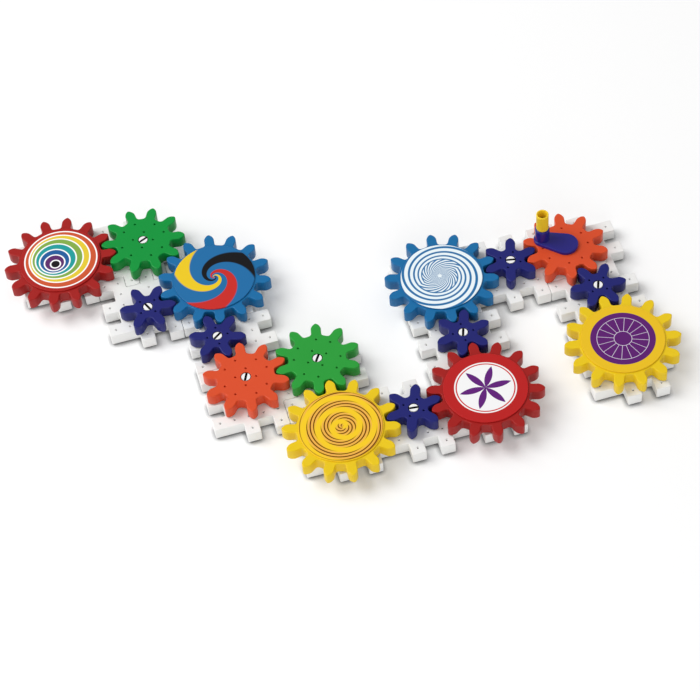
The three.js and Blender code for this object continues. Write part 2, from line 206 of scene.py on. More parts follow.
class Moulding:
    """Gathers the points and faces of one piece, in millimetres. Each face is either BRIGHT, the
    plastic, or painted shade: the dark material on the inside of a hole or slot, which stands in for
    the shade there."""

    def __init__(self):
        self.points, self.faces, self.finishes, self.count = [], [], [], 0

    def add_points(self, points):
        """Takes an array of points of any shape and returns their numbers in the same shape."""
        flat = points.reshape(-1, 3)
        index = self.count + np.arange(len(flat)).reshape(points.shape[:-1])
        self.points.append(flat)
        self.count += len(flat)
        return index

    def add_faces(self, faces, finish=BRIGHT):
        """Takes faces, each a list of point numbers."""
        self.faces += faces
        self.finishes += [finish] * len(faces)

    def skin(self, rings, dark_rows=(0, 0), dark_columns=(0, 0)):
        """Quads between neighbouring rings, each ring closed on itself. The piece lies to the left
        of a ring's direction, and rings run from the underside to the top. The faces of some rows
        or columns may get painted shade, the dark material."""
        here = self.add_points(rings)
        ahead = np.roll(here, -1, 1)
        quads = np.stack([here[:-1], ahead[:-1], ahead[1:], here[1:]], -1)
        finish = np.full(quads.shape[:2], BRIGHT)
        finish[slice(*dark_rows)] = PAINTED_SHADE
        finish[:, slice(*dark_columns)] = PAINTED_SHADE
        self.faces += quads.reshape(-1, 4).tolist()
        self.finishes += finish.reshape(-1).tolist()
        return here

    def wall(self, outline, profile, **dark):
        """An outline carried along a profile of insets and heights."""
        rings = [at_height(outline, inset, height) for inset, height in profile]
        return self.skin(np.array(rings), **dark)

    def turned(self, profile, sides, at=(0, 0), swell=None, **dark):
        """A profile of radii and heights carried round an axis: x is the radius times the cosine of
        the angle and y times its sine. swell changes the radius with the angle and the row."""
        angle = np.arange(sides) * 2 * math.pi / sides
        radius, height = np.array(profile, float).T
        radius = np.repeat(radius[:, None], sides, 1)
        if swell is not None:
            radius = radius + swell(angle[None, :], np.arange(len(height))[:, None])
        x, y = at[0] + radius * np.cos(angle), at[1] + radius * np.sin(angle)
        z = np.repeat(height[:, None], sides, 1)
        return self.skin(np.stack([x, y, z], -1), **dark)

    def fill(self, loops, faces_up):
        """Flat triangles between loops of point numbers: the first is the rim, the rest are holes.
        A Delaunay triangulation keeps every loop and tells which loops hold a triangle. Those that
        the rim alone holds are taken."""
        numbers = np.concatenate(loops)
        flat = np.concatenate(self.points)[numbers, :2]
        outlines, start = [], 0
        for loop in loops:
            places = np.arange(start, start + len(loop))
            x, y = flat[places].T
            is_anticlockwise = (x * np.roll(y, -1) - np.roll(x, -1) * y).sum() > 0
            outlines.append((places if is_anticlockwise else places[::-1]).tolist())
            start += len(loop)
        points, inside_only = [Vector(place) for place in flat.tolist()], 1
        found = delaunay_2d_cdt(points, [], outlines, inside_only, SAME_POINT)
        corners, origins, holders = found[2], found[3], found[5]
        kept = [trio for trio, holder in zip(corners, holders) if list(holder) == [0]]
        triangles = numbers[np.array([[origins[k][0] for k in trio] for trio in kept])]
        self.add_faces((triangles if faces_up else triangles[:, ::-1]).tolist())

    def cap(self, ring, faces_up, finish=BRIGHT):
        """One flat face over a small anticlockwise ring."""
        self.add_faces([(ring if faces_up else ring[::-1]).tolist()], finish)

    def blind_hole(self, outline, profile):
        """The wall of a hole and its floor in painted shade, the dark material. It returns the loop at
        the mouth.
        """
        rings = self.wall(outline, profile)
        self.cap(rings[0][::-1], True, PAINTED_SHADE)
        return rings[-1]

    def placed(self, at=(0, 0), turn=0.0):
        """The points turned about the origin by turn degrees and then moved to at."""
        x, y, z = np.concatenate(self.points).T
        c, s = math.cos(math.radians(turn)), math.sin(math.radians(turn))
        return np.column_stack([at[0] + c * x - s * y, at[1] + s * x + c * y, z])


trial = Moulding()
trial.wall(circle(5.0, 24), edge_profile(0, 3, 0.2, 0.4))
print("a round button has", len(trial.faces), "faces before its flats are filled")

# %% [markdown]
# A finished moulding becomes a mesh in metres, in its own place, with its object at the origin. The
# piece rides on the body that carries the CAD solid of the same name, and stands for that solid.

# %% Mouldings into pieces
def welded(points, faces):
    """Merges points that lie within a thousandth of a millimetre of each other."""
    _, first, number = np.unique(np.round(points, 3), axis=0, return_index=True, return_inverse=True)
    number = number.reshape(-1)
    return points[first], [number[face].tolist() for face in faces]


def make_piece(name, moulding, at, turn, material, node):
    """The moulding, put in its place, as a mesh that rides on the body of a node and stands for it."""
    points, faces = welded(moulding.placed(at, turn), moulding.faces)
    mesh = bpy.data.meshes.new(name)
    mesh.from_pydata((points / PER_METRE).tolist(), [], faces)
    mesh.shade_smooth()
    mesh.materials.append(material)
    # The second material is painted shade for the insides of holes and slots.
    mesh.materials.append(hole_shadow)
    mesh.polygons.foreach_set("material_index", moulding.finishes)
    piece = bpy.data.objects.new(name, mesh)
    bpy.context.scene.collection.objects.link(piece)
    body = frame["nodes"][node]["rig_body"]
    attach(piece, body)
    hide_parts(node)
    return piece


# %% [markdown]
# ## The plastic
# Moulded plastic is never one flat colour. It is a little darker where it flowed slowly, its skin has
# a faint orange peel, and handling leaves patches that are more or less glossy. One node group holds
# these three effects, and each material gives it a colour and strengths of its own. It reads Object
# coordinates, which ride with the piece. A few helpers come first, which add one node in one line.

# %% Helpers for nodes
def linear(red, green, blue):
    """The light value of each 0 to 255 screen value: the value over 255, plus 0.055, over 1.055, to
    the power 2.4."""
    screen = np.array([red, green, blue]) / 255
    light = np.where(screen < 0.04045, screen / 12.92, ((screen + 0.055) / 1.055) ** 2.4)
    return (*light.tolist(), 1.0)


def feed(tree, sockets, values):
    """Gives each input socket its value, or links it to the output socket that is given."""
    for socket, value in zip(sockets, values):
        if isinstance(value, bpy.types.NodeSocket):
            tree.links.new(value, socket)
        else:
            socket.default_value = value


def add_node(tree, kind, settings=None, **inputs):
    """Adds a node, sets its properties and feeds its inputs, named with _ for each space."""
    node = tree.nodes.new(kind)
    for key, value in (settings or {}).items():
        setattr(node, key, value)
    feed(tree, [node.inputs[key.replace("_", " ")] for key in inputs], inputs.values())
    return node


def maths(tree, operation, *values, clamp=False):
    """One Math node on values or sockets."""
    node = add_node(tree, "ShaderNodeMath", {"operation": operation, "use_clamp": clamp})
    feed(tree, node.inputs, values)
    return node.outputs[0]


def blend_colour(tree, share, below, above):
    """A Mix node on colours: share 0 gives below, and 1 gives above."""
    node = add_node(tree, "ShaderNodeMix", {"data_type": "RGBA"})
    factor, first, second = (node.inputs[k] for k in (0, 6, 7))
    feed(tree, (factor, first, second), (share, below, above))
    return node.outputs[2]


def new_group(name, inputs, outputs):
    """An empty node group with named sockets, and its two end nodes."""
    group = bpy.data.node_groups.new(name, "ShaderNodeTree")
    for label, kind, value in inputs:
        socket = group.interface.new_socket(name=label, in_out="INPUT", socket_type=kind)
        if value is not None:
            socket.default_value = value
    for label, kind in outputs:
        group.interface.new_socket(name=label, in_out="OUTPUT", socket_type=kind)
    return group, group.nodes.new("NodeGroupInput"), group.nodes.new("NodeGroupOutput")


NUMBER, COLOUR, PLACE = "NodeSocketFloat", "NodeSocketColor", "NodeSocketVector"
print("light values of a middle grey:", [round(v, 3) for v in linear(128, 128, 128)])

# %% [markdown]
# The group has three noises. A wide one picks where the colour is deeper, a finer one moves the
# roughness up and down, and a very fine one is the height of the orange peel. Only masks and colours
# leave the group: the shader itself stays in each material.

# %% Group for moulded plastic
moulded, enter, leave = new_group(
    "moulded_plastic",
    [("Vector", PLACE, None), ("Color", COLOUR, None), ("Shade", NUMBER, 0.1), ("Rough", NUMBER, 0.3),
     ("Patches", NUMBER, 0.1)],
    [("Color", COLOUR), ("Roughness", NUMBER), ("Height", NUMBER)],
)
place, colour = enter.outputs["Vector"], enter.outputs["Color"]
flow = add_node(moulded, "ShaderNodeTexNoise", Vector=place, Scale=38.0, Detail=3.0)
darker = maths(moulded, "MULTIPLY", flow.outputs[0], enter.outputs["Shade"])
deep = add_node(moulded, "ShaderNodeHueSaturation", Color=colour, Value=0.6, Saturation=1.08)
shaded = blend_colour(moulded, darker, colour, deep.outputs[0])
touch = add_node(moulded, "ShaderNodeTexNoise", Vector=place, Scale=95.0, Detail=4.0)
around_none = maths(moulded, "SUBTRACT", touch.outputs[0], 0.5)
spread = maths(moulded, "MULTIPLY", around_none, enter.outputs["Patches"])
rough = maths(moulded, "ADD", enter.outputs["Rough"], spread, clamp=True)
peel = add_node(moulded, "ShaderNodeTexNoise", Vector=place, Scale=900.0, Detail=2.0)
for result, name in ((shaded, "Color"), (rough, "Roughness"), (peel.outputs[0], "Height")):
    moulded.links.new(result, leave.inputs[name])
print("nodes in the group:", len(moulded.nodes))

# %% [markdown]
# Each colour of the toy is one material, written as the value that a screen shows for it under even
# light. The plates are a little rougher than the gears. The inside of a deep hole gets painted shade:
# a near-black material, since hardly any light comes back out of such a hole.

# %% Plastics of the toy
def plastic(name, screen_colour, rough=0.32, patches=0.12, shade=0.25, peel=0.00002, coat=0.0,
            print_on=None):
    """A material: the moulded group feeds colour, roughness and bump of one Principled BSDF. The
    peel is the depth of the orange peel in metres, and print_on draws a print on the colour."""
    material = bpy.data.materials.new(name)
    material.use_nodes = True
    tree = material.node_tree
    surface = tree.nodes["Principled BSDF"]
    place = add_node(tree, "ShaderNodeTexCoord").outputs["Object"]
    colour = linear(*screen_colour)
    if print_on is not None:
        colour = print_on(tree, place, colour)
    skin = add_node(tree, "ShaderNodeGroup", {"node_tree": moulded}, Vector=place, Color=colour,
                    Shade=shade, Rough=rough, Patches=patches).outputs
    bump = add_node(tree, "ShaderNodeBump", Height=skin["Height"], Distance=peel, Strength=0.6)
    for label, value in (
        ("Base Color", skin["Color"]), ("Roughness", skin["Roughness"]), ("Normal", bump.outputs[0]),
        ("IOR", 1.5), ("Specular IOR Level", 0.25), ("Coat Weight", coat), ("Coat Roughness", 0.12),
    ):
        feed(tree, [surface.inputs[label]], [value])
    return material


PLASTICS = {
    "red": plastic("red_plastic", (165, 27, 24)),
    "green": plastic("green_plastic", (42, 158, 58)),
    "deep_green": plastic("deep_green_plastic", (0, 149, 58)),
    "blue": plastic("blue_plastic", (20, 109, 166)),
    "indigo": plastic("indigo_plastic", (30, 34, 112)),
    "orange": plastic("orange_plastic", (222, 80, 42)),
    "yellow": plastic("yellow_plastic", (238, 202, 24)),
}
# Painted shade for the insides of holes, slots and the counterbores of the gears.
hole_shadow = plastic("hole_shadow", (16, 14, 18), rough=0.7, patches=0.05)
plate_white = plastic("plate_white", (243, 243, 241), rough=0.42, shade=0.06, peel=0.00003)
pin_white = plastic("pin_white", (244, 244, 244), rough=0.3, shade=0.05)
print("materials:", [m.name for m in bpy.data.materials])

# %% [markdown]
# ## Base plates
# A base plate is a shallow tray turned upside down. Square fingers stand out on all four sides, and
# one corner is filled, so plates tile the table. A tiny blind hole marks the middle of every cell,
# and a socket takes the axle pin. Each plate could be one box with thirty Boolean cuts, but drawing
# the outline once and filling round the holes gives cleaner edges. The walls stop a little above the
# table, on a foot that stands back, which draws a dark line under every edge. Plates differ only in
# the place of the socket, so a moulding is worked out once for each place.

# %% Base plates
SIDE_GAP, FOOT_SETBACK, BODY_FOOT, PLATE_CORNER = 0.15, 1.6, 1.4, 1.0
PLATE_HOLE, PLATE_HOLE_FLOOR, SOCKET = 1.0, 9.8, 2.7
POCKET_NEAR, POCKET_FAR, POCKET_CEILING = 4.9, 21.2, 9.6


def plate_corners():
    """One side of the plate with two fingers, turned four times by a right angle, in cells, and a
    filled square at the fourth corner."""
    side = np.array([[-1, -2], [-1, -3], [0, -3], [0, -2], [1, -2], [1, -3], [2, -3]], float)
    quarter = np.array([[0, -1], [1, 0]])
    turns = [side @ np.linalg.matrix_power(quarter, k).T for k in range(4)]
    turns[2] = turns[2][:-1]
    filled = np.array([[-3, 3], [-3, 2], [-2, 2]], float)
    return np.concatenate([turns[0], turns[1], turns[2], filled, turns[3]])


def is_on_plate(x, y):
    """True where the cell with this middle is part of the plate: the core, a finger or the corner."""
    if max(abs(x), abs(y)) < 2 or (x, y) == (-2.5, 2.5):
        return True
    fingers = [(-0.5, -2.5), (1.5, -2.5)]
    for _ in range(4):
        if (x, y) in fingers:
            return True
        fingers = [(-v, u) for u, v in fingers]
    return False


def plate_moulding(socket):
    """Outer wall, top face with holes, the socket from top to bottom, and four open pockets below."""
    plate = Moulding()
    corners = drawn_in(plate_corners() * CELL, SIDE_GAP)
    body = softened(corners, PLATE_CORNER, 4)
    foot = softened(drawn_in(corners, FOOT_SETBACK), PLATE_CORNER, 4)
    foot_profile = [(0.3, 0), (0.15, 0), (0, 0.15), (0, BODY_FOOT)]
    body_profile = edge_profile(BODY_FOOT, PLATE_TOP, 0.2, 0.55)
    rim = plate.skin(np.array([at_height(foot, inset, height) for inset, height in foot_profile]
                              + [at_height(body, inset, height) for inset, height in body_profile]))
    top_loops, foot_loops = [rim[-1]], [rim[0]]
    cells = np.arange(-2.5, 3, 1)
    hole_profile = [
        (0, PLATE_HOLE_FLOOR), (0, PLATE_TOP - 0.2), (0.15, PLATE_TOP), (0.15 + FLAT_RING, PLATE_TOP),
    ]
    for x, y in [(x, y) for x in cells for y in cells if is_on_plate(x, y)]:
        outline = circle(PLATE_HOLE, 12, (x * CELL, y * CELL), True)
        top_loops.append(plate.blind_hole(outline, hole_profile))
    bore = plate.wall(circle(SOCKET, 32, socket, True), [
        (0.35 + FLAT_RING, 0), (0.35, 0), (0, 0.35),
        (0, PLATE_TOP - 0.4), (0.12, PLATE_TOP - 0.1), (0.4, PLATE_TOP), (0.4 + FLAT_RING, PLATE_TOP),
    ])
    foot_loops.append(bore[0])
    top_loops.append(bore[-1])
    near, far = POCKET_NEAR, POCKET_FAR
    pocket_profile = [
        (0.3 + FLAT_RING, 0), (0.3, 0), (0, 0.3),
        (0, POCKET_CEILING - 0.3), (-0.3, POCKET_CEILING), (-0.3 - FLAT_RING, POCKET_CEILING),
    ]
    for a, b in ((1, 1), (-1, 1), (-1, -1), (1, -1)):
        square = np.array([[near, near], [near, far], [far, far], [far, near]]) * [a, b]
        clockwise = square if a * b > 0 else square[::-1]
        pocket = plate.wall(softened(clockwise, 1.0, 4), pocket_profile)
        foot_loops.append(pocket[0])
        plate.fill([pocket[-1]], False)
    plate.fill(top_loops, True)
    plate.fill(foot_loops, False)
    return plate


plates = {}
for key, at in PLATE_AT.items():
    socket = tuple(np.round(AXIS_AT[key] - at).tolist())
    if socket not in plates:
        plates[socket] = plate_moulding(socket)
    make_piece(f"plate_{key}", plates[socket], at, 0, plate_white, f"base_plate_{key}")
print("faces of each kind of plate:", {key: len(plate.faces) for key, plate in plates.items()})

# %% [markdown]
# ## Axle pins
# A white pin holds each gear down: a round shank through gear and plate, and a flat head with a slot,
# so that a coin or a screwdriver can turn it. Its head could be a cylinder with a Boolean slot. Here
# it is one round wall up to the slot's floor and two D-shaped walls above it, which gives the slot
# soft edges too. The slot's floor and walls get painted shade, a near-black material. The shared
# points are welded, so the pin is closed.

# %% Axle pins
SHANK_INSET, PIN_FOOT = 1.3, 1.5
HEAD_RADIUS, HEAD_FOOT, HEAD_TOP, SLOT_HALF, SLOT_FLOOR = 3.7, 21.3, 23.8, 0.65, 22.2


def pin_moulding():
    """Half circles on both sides of the slot, x = r cos t and y = r sin t, mirrored for the other."""
    least = math.asin(SLOT_HALF / HEAD_RADIUS)
    t = np.linspace(least, math.pi - least, 21)
    half = HEAD_RADIUS * np.stack([np.cos(t), np.sin(t)], 1)
    pin = Moulding()
    body = pin.wall(np.concatenate([half, -half]), [
        (SHANK_INSET + 0.8, PIN_FOOT), (SHANK_INSET, PIN_FOOT + 0.8), (SHANK_INSET, HEAD_FOOT - 0.3),
        (SHANK_INSET - 0.3, HEAD_FOOT), (0.2, HEAD_FOOT), (0, HEAD_FOOT + 0.2), (0, SLOT_FLOOR),
    ])
    pin.cap(body[0], False)
    n = len(half)
    # The slot's floor and its two walls get painted shade.
    pin.cap(body[-1][[n - 1, n, 2 * n - 1, 0]], True, PAINTED_SHADE)
    only_upper_edge = edge_profile(SLOT_FLOOR, HEAD_TOP, 0, 0.2, 4)[4:]
    for side in (half, -half):
        crown = pin.wall(side, only_upper_edge, dark_columns=(n - 1, n))
        pin.fill([crown[-1]], True)
    return pin


pin = pin_moulding()
for key, at in AXIS_AT.items():
    make_piece(f"pin_{key}", pin, at, SLOT_TURNS[key], pin_white, f"axle_pin_{key}")
print("faces of one pin:", len(pin.faces))

# %% [markdown]
# ## Gears
# The teeth are blunt petals, made for small hands that push gears together. Flanks that run straight
# out end in an oval crown, and a fillet softens each root. An exact gear tooth would use an
# involute, but a toy's petal is easier to read: an ellipse whose sine and cosine are raised to a
# power over one, which draws its sides in and leaves the tip a little more pointed.

# %% Outline of a gear
ADDENDUM, DEDENDUM, TOOTH_HALF, NECK_HALF, CROWN_POWER = 5.5, 6.2, 4.16, 4.06, 1.25
ROOT_REACH = 2.2


def root_radius(size):
    """The radius at the foot of the teeth: the pitch radius, on which two gears meet and which has
    a quarter of a cell for each tooth, less the dedendum."""
    return TEETH[size] * CELL / 4 - DEDENDUM


def gear_outline(size):
    """One tooth along x: root fillet, flank, and the crown x = pitch + a (sin t)^p, y = b (cos t)^p.
    Its mirror image follows, and the tooth is turned into every place."""
    teeth, root = TEETH[size], root_radius(size)
    pitch = root + DEDENDUM
    t = np.linspace(0, math.pi / 2, 11)
    crown = np.stack([
        pitch + ADDENDUM * np.sin(t) ** CROWN_POWER,
        -TOOTH_HALF * np.maximum(np.cos(t), 0) ** CROWN_POWER,
    ], 1)
    foot = np.array([math.sqrt(root**2 - NECK_HALF**2), -NECK_HALF])
    step = 2 * math.pi / teeth
    turn = np.array([[math.cos(step), math.sin(step)], [-math.sin(step), math.cos(step)]])
    foot_before = turn @ (foot * [1, -1])
    back, flank = foot_before - foot, crown[0] - foot
    width, height = np.linalg.norm(back), np.linalg.norm(flank)
    reach = min(ROOT_REACH, 0.45 * width)
    fillet = parabola(foot + reach * back / width, foot, foot + reach * flank / height, 5)
    lower = np.concatenate([fillet, crown])
    tooth = np.concatenate([lower, lower[:-1][::-1] * [1, -1]])
    return np.concatenate([tooth @ np.linalg.matrix_power(turn, k) for k in range(teeth)])


print("points round a gear:", {size: len(gear_outline(size)) for size in TEETH})

# %% [markdown]
# Below its top a gear is hollow: a pocket keeps the wall thin, and a hub carries the gear. Everything
# round the axis, from the counterbore for the pin's head down through the bore and out over the
# pocket, is one turned profile. Two or more tiny peg holes, on the lattice of cells, take the pegs
# of a disc or of the crank.

# %% Gears
BORE, COUNTERBORE, COUNTERBORE_FLOOR, HUB, RIM_WALL = 2.7, 4.3, 21.0, 5.9, 3.0
PEG_HOLE, PEG_HOLE_DEPTH = 0.95, 2.9


def peg_holes(size):
    """Places of the tiny holes, in the middles of cells and turned with the gear."""
    steps = (-1.5 * CELL, -0.5 * CELL, 0.5 * CELL, 1.5 * CELL)
    if size == "large":
        return [(steps[0], steps[0]), (steps[-1], steps[-1])]
    room = root_radius(size) - RIM_WALL
    return [(x, y) for x in steps for y in steps if math.hypot(x, y) < room]


def inner_profile(size):
    """From the counterbore's mouth down the bore, out under the hub and, but for a small gear, up
    and down again round the pocket."""
    inner = [
        (COUNTERBORE + 0.3 + FLAT_RING, GEAR_TOP), (COUNTERBORE + 0.3, GEAR_TOP),
        (COUNTERBORE + 0.09, GEAR_TOP - 0.09), (COUNTERBORE, GEAR_TOP - 0.3),
        (COUNTERBORE, COUNTERBORE_FLOOR + 0.15), (COUNTERBORE - 0.15, COUNTERBORE_FLOOR),
        (BORE + 0.2, COUNTERBORE_FLOOR), (BORE, COUNTERBORE_FLOOR - 0.2),
        (BORE, GEAR_FOOT + 0.3), (BORE + 0.3, GEAR_FOOT),
        (HUB - 0.3, GEAR_FOOT), (HUB, GEAR_FOOT + 0.3),
    ]
    if size == "small":
        return inner + [
            (HUB, GEAR_BODY - 0.3), (HUB + 0.3, GEAR_BODY), (HUB + 0.3 + FLAT_RING, GEAR_BODY),
        ]
    pocket = root_radius(size) - RIM_WALL
    return inner + [
        (HUB, POCKET_TOP - 0.5), (HUB + 0.15, POCKET_TOP - 0.15), (HUB + 0.5, POCKET_TOP),
        (pocket - 0.5, POCKET_TOP), (pocket - 0.15, POCKET_TOP - 0.15), (pocket, POCKET_TOP - 0.5),
        (pocket, GEAR_BODY + 0.3), (pocket + 0.3, GEAR_BODY), (pocket + 0.3 + FLAT_RING, GEAR_BODY),
    ]


def gear_moulding(size):
    """The toothed wall, the turned profile inside it, the blind holes, and the two flat faces."""
    gear = Moulding()
    rim = gear.wall(gear_outline(size), edge_profile(GEAR_BODY, GEAR_TOP, 0.3, 0.65, 5))
    # The counterbore's wall and floor and the bore below it get painted shade.
    centre = gear.turned(inner_profile(size), 64, dark_rows=(3, 8))
    hole_profile = [
        (0, GEAR_TOP - PEG_HOLE_DEPTH), (0, GEAR_TOP - 0.25), (0.07, GEAR_TOP - 0.07),
        (0.25, GEAR_TOP), (0.25 + FLAT_RING, GEAR_TOP),
    ]
    holes = [gear.blind_hole(circle(PEG_HOLE, 14, at, True), hole_profile) for at in peg_holes(size)]
    gear.fill([rim[-1], centre[0], *holes], True)
    gear.fill([rim[0], centre[-1]], False)
    return gear


mouldings = {size: gear_moulding(size) for size in TEETH}
for key, (size, colour, turn) in GEARS.items():
    node = next(name for name in frame["nodes"] if name.startswith(f"gear_{key}"))
    slot = node.split("_")[-1] + "_plastic"
    make_piece(f"toothed_{key}", mouldings[size], AXIS_AT[key], turn, PLASTICS[colour], node)
print("faces of the gears:", {size: len(m.faces) for size, m in mouldings.items()})

# %% [markdown]
# ## Printed discs
# A thin card-like disc is pushed on to each large gear, and its print makes a show as it turns. Such
# a print is often an image on a UV map. Here each one is drawn by formulas in its material, which
# stay sharp at any size. A Mapping node moves the pattern to the disc's axis and counts in cells.
# Two small node groups do what most prints need: a spot with an outline, and the radius and angle
# about a point. Both start from the vector that leads from that point to the place.

# %% Groups for prints
SOFT_EDGE = 0.012
WHITE = (1, 1, 1, 1)


def vector_maths(tree, operation, *values):
    """The outputs of one Vector Math node on vectors or sockets."""
    node = add_node(tree, "ShaderNodeVectorMath", {"operation": operation})
    feed(tree, node.inputs, values)
    return node.outputs


def offset_and_length(group, given):
    """The vector from the point X, Y to the place that a group is given, and its length."""
    point = add_node(group, "ShaderNodeCombineXYZ", X=given["X"], Y=given["Y"]).outputs[0]
    offset = vector_maths(group, "SUBTRACT", given["Vector"], point)["Vector"]
    return offset, vector_maths(group, "LENGTH", offset)["Value"]


spot_group, enter, leave = new_group(
    "printed_spot",
    [("Vector", PLACE, None), ("Below", COLOUR, None), ("Fill", COLOUR, None), ("Line", COLOUR, WHITE),
     ("X", NUMBER, 0.0), ("Y", NUMBER, 0.0), ("Radius", NUMBER, 1.0), ("Width", NUMBER, 0.1)],
    [("Color", COLOUR)],
)
given = enter.outputs
_, length = offset_and_length(spot_group, given)
from_edge = maths(spot_group, "SUBTRACT", given["Radius"], length)
from_line = maths(spot_group, "SUBTRACT", from_edge, given["Width"])
outer = maths(spot_group, "DIVIDE", from_edge, SOFT_EDGE, clamp=True)
inner = maths(spot_group, "DIVIDE", from_line, SOFT_EDGE, clamp=True)
lined = blend_colour(spot_group, outer, given["Below"], given["Line"])
spot_group.links.new(blend_colour(spot_group, inner, lined, given["Fill"]), leave.inputs["Color"])

polar_group, enter, leave = new_group(
    "polar_place", [("Vector", PLACE, None), ("X", NUMBER, 0.0), ("Y", NUMBER, 0.0)],
    [("Radius", NUMBER), ("Angle", NUMBER), ("Log Radius", NUMBER)],
)
offset, length = offset_and_length(polar_group, enter.outputs)
parts = add_node(polar_group, "ShaderNodeSeparateXYZ", Vector=offset).outputs
length = maths(polar_group, "MAXIMUM", length, 0.001)
for result, name in (
    (length, "Radius"), (maths(polar_group, "ARCTAN2", parts["Y"], parts["X"]), "Angle"),
    (maths(polar_group, "LOGARITHM", length, math.e), "Log Radius"),
):
    polar_group.links.new(result, leave.inputs[name])


def printed_spot(tree, place, below, fill, at, radius, width):
    """One spot with a white outline over the colour below it."""
    node = add_node(tree, "ShaderNodeGroup", {"node_tree": spot_group}, Vector=place, Below=below,
                    Fill=linear(*fill), Line=WHITE, X=at[0], Y=at[1], Radius=radius, Width=width)
    return node.outputs[0]


def polar(tree, place, at=(0.0, 0.0)):
    """Radius, angle and logarithm of the radius about a point."""
    settings = {"node_tree": polar_group}
    return add_node(tree, "ShaderNodeGroup", settings, Vector=place, X=at[0], Y=at[1]).outputs


def wave_mask(tree, phase, cut, sharpness):
    """1 where the cosine of a phase is over cut, with a short ramp."""
    over = maths(tree, "SUBTRACT", maths(tree, "COSINE", phase), cut)
    return maths(tree, "MULTIPLY_ADD", over, sharpness, 0.5, clamp=True)


def below_mask(tree, value, limit, ramp=SOFT_EDGE):
    """1 where a value is under a limit, with a ramp below it."""
    return maths(tree, "DIVIDE", maths(tree, "SUBTRACT", limit, value), ramp, clamp=True)


def line_mask(tree, value, line_at, half_width):
    """1 where a value is nearer to the middle of a line than half its width."""
    away = maths(tree, "ABSOLUTE", maths(tree, "SUBTRACT", value, line_at))
    return below_mask(tree, away, half_width)


def disc_place(tree, place, key):
    """The place on a disc, in cells from its axis."""
    x, y = (AXIS_AT[key] / CELL).tolist()
    scale = PER_METRE / CELL
    node = add_node(tree, "ShaderNodeMapping", Vector=place, Location=(-x, -y, 0),
                    Scale=(scale, scale, 0))
    return node.outputs[0]


print("nodes in the groups:", {group.name: len(group.nodes) for group in bpy.data.node_groups})

# %% [markdown]
# The red disc has nested circles that wander off the middle, each with a white outline. The blue one
# has three arms of a logarithmic spiral, the same curve as a snail's shell: along it the angle grows
# with the logarithm of the radius.

# %% Nested circles and three arms
NESTED = [
    ((0.065, 0.005), 2.60, (205, 85, 45)),
    ((-0.005, 0.10), 2.20, (228, 200, 50)),
    ((-0.15, 0.135), 1.87, (130, 170, 70)),
    ((-0.275, 0.085), 1.50, (25, 155, 155)),
    ((-0.38, -0.025), 1.13, (25, 90, 155)),
    ((-0.415, -0.165), 0.775, (90, 35, 105)),
    ((-0.38, -0.30), 0.405, (8, 6, 10)),
]


def nested_print(tree, place, colour):
    """Spots over each other, from the widest to the smallest."""
    flat = disc_place(tree, place, "01")
    for at, radius, fill in NESTED:
        colour = printed_spot(tree, flat, colour, fill, at, radius, 0.1)
    return colour


def three_arm_print(tree, place, colour):
    """An arm covers a point where angle - start + lead x log radius is within half its width of a
    full turn: its cosine is over that of the half width."""
    _, angle, log_radius = polar(tree, disc_place(tree, place, "03"))
    lead = math.radians(102)
    wound = maths(tree, "MULTIPLY_ADD", log_radius, lead, angle)
    for start, width, fill in (
        (235, 55, (236, 200, 28)), (350, 58, (200, 40, 34)), (112, 52, (2, 2, 6)),
    ):
        phase = maths(tree, "SUBTRACT", wound, math.radians(start))
        mask = wave_mask(tree, phase, math.cos(math.radians(width / 2)), 25)
        colour = blend_colour(tree, mask, colour, linear(*fill))
    return colour


print("nested circles:", len(NESTED), "radius of the widest in cells:", NESTED[0][1])

# %% [markdown]
# The yellow disc has a spiral with equal steps, as the groove of a record: there the angle grows with
# the radius itself. It is made of short curved strokes that run the other way. Drawn one by one they
# would be dozens of shapes, but two waves multiplied give them all, each with its pointed ends.

# %% Spiral of strokes
SPIRAL_STEP, SPIRAL_RIM = 0.987, 2.74


def stroke_print(tree, place, colour):
    """A wide spiral band fades as e to the minus square of the distance to its middle line, and a
    fine wave of three arms winds the other way. Their product is dark above a limit and pale below
    minus the limit."""
    start, half_width, wave_step, limit = 0.69, 0.29, 0.233, 0.2
    flat = disc_place(tree, place, "08")
    radius, angle, _ = polar(tree, flat, (0.09, -0.08))
    turns = maths(tree, "DIVIDE", angle, 2 * math.pi)
    wound = maths(tree, "SUBTRACT", maths(tree, "DIVIDE", radius, SPIRAL_STEP), turns)
    apart = maths(tree, "WRAP", maths(tree, "SUBTRACT", wound, start), 0.5, -0.5)
    apart = maths(tree, "MULTIPLY", apart, SPIRAL_STEP / half_width)
    square = maths(tree, "MULTIPLY", apart, apart)
    band = maths(tree, "EXPONENT", maths(tree, "MULTIPLY", square, -1.0))
    three_arms = maths(tree, "MULTIPLY", angle, 3.0)
    wave = maths(tree, "MULTIPLY_ADD", radius, 2 * math.pi / wave_step, three_arms)
    wave = maths(tree, "COSINE", maths(tree, "SUBTRACT", wave, math.radians(202)))
    from_axis = polar(tree, flat)[0]
    stroke = maths(tree, "MULTIPLY", wave, band)
    stroke = maths(tree, "MULTIPLY", stroke, below_mask(tree, from_axis, SPIRAL_RIM))
    for sign, shade in ((-1.0, linear(238, 170, 84)), (1.0, linear(104, 28, 8))):
        mask = maths(tree, "MULTIPLY_ADD", stroke, sign / limit, -1.0, clamp=True)
        colour = blend_colour(tree, mask, colour, shade)
    # A thin dark brown ring runs round the disc just past the end of the strokes, near its edge.
    edge = maths(tree, "MULTIPLY", line_mask(tree, from_axis, SPIRAL_RIM + 0.02, 0.03), 0.7)
    return blend_colour(tree, edge, colour, linear(122, 38, 12))


print("turns of the spiral:", round(SPIRAL_RIM / SPIRAL_STEP, 1))

